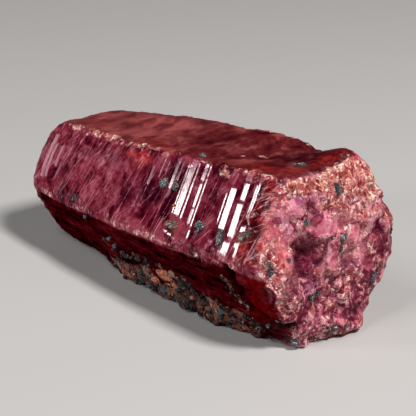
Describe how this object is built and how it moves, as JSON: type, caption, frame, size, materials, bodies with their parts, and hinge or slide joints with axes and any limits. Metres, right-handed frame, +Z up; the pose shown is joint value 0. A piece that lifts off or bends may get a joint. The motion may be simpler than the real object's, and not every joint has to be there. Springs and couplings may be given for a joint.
{
  "type": "raw ruby crystal",
  "caption": "Rough six-sided ruby crystal lying on a prism face, with striated sides, a worn narrow end, a broken granular end and rock fused along its foot.",
  "frame": {"origin": "middle of the box's footprint, on the surface that the crystal lies on", "axes": "+X along the crystal towards its broken, thicker end; +Z up; -Y towards the side with the striated prism face and the fused rock"},
  "size_m": [0.0524, 0.0224, 0.0216],
  "materials": {
    "ruby": "satin natural crystal faces, wine red to magenta, granular pink where broken",
    "mica": "small pearly grey-green mica flakes",
    "matrix": "rough grainy brown and grey rock fused to the crystal"
  },
  "bodies": {
    "root": {"ruby_crystal": "ruby"}
  },
  "joints": []
}
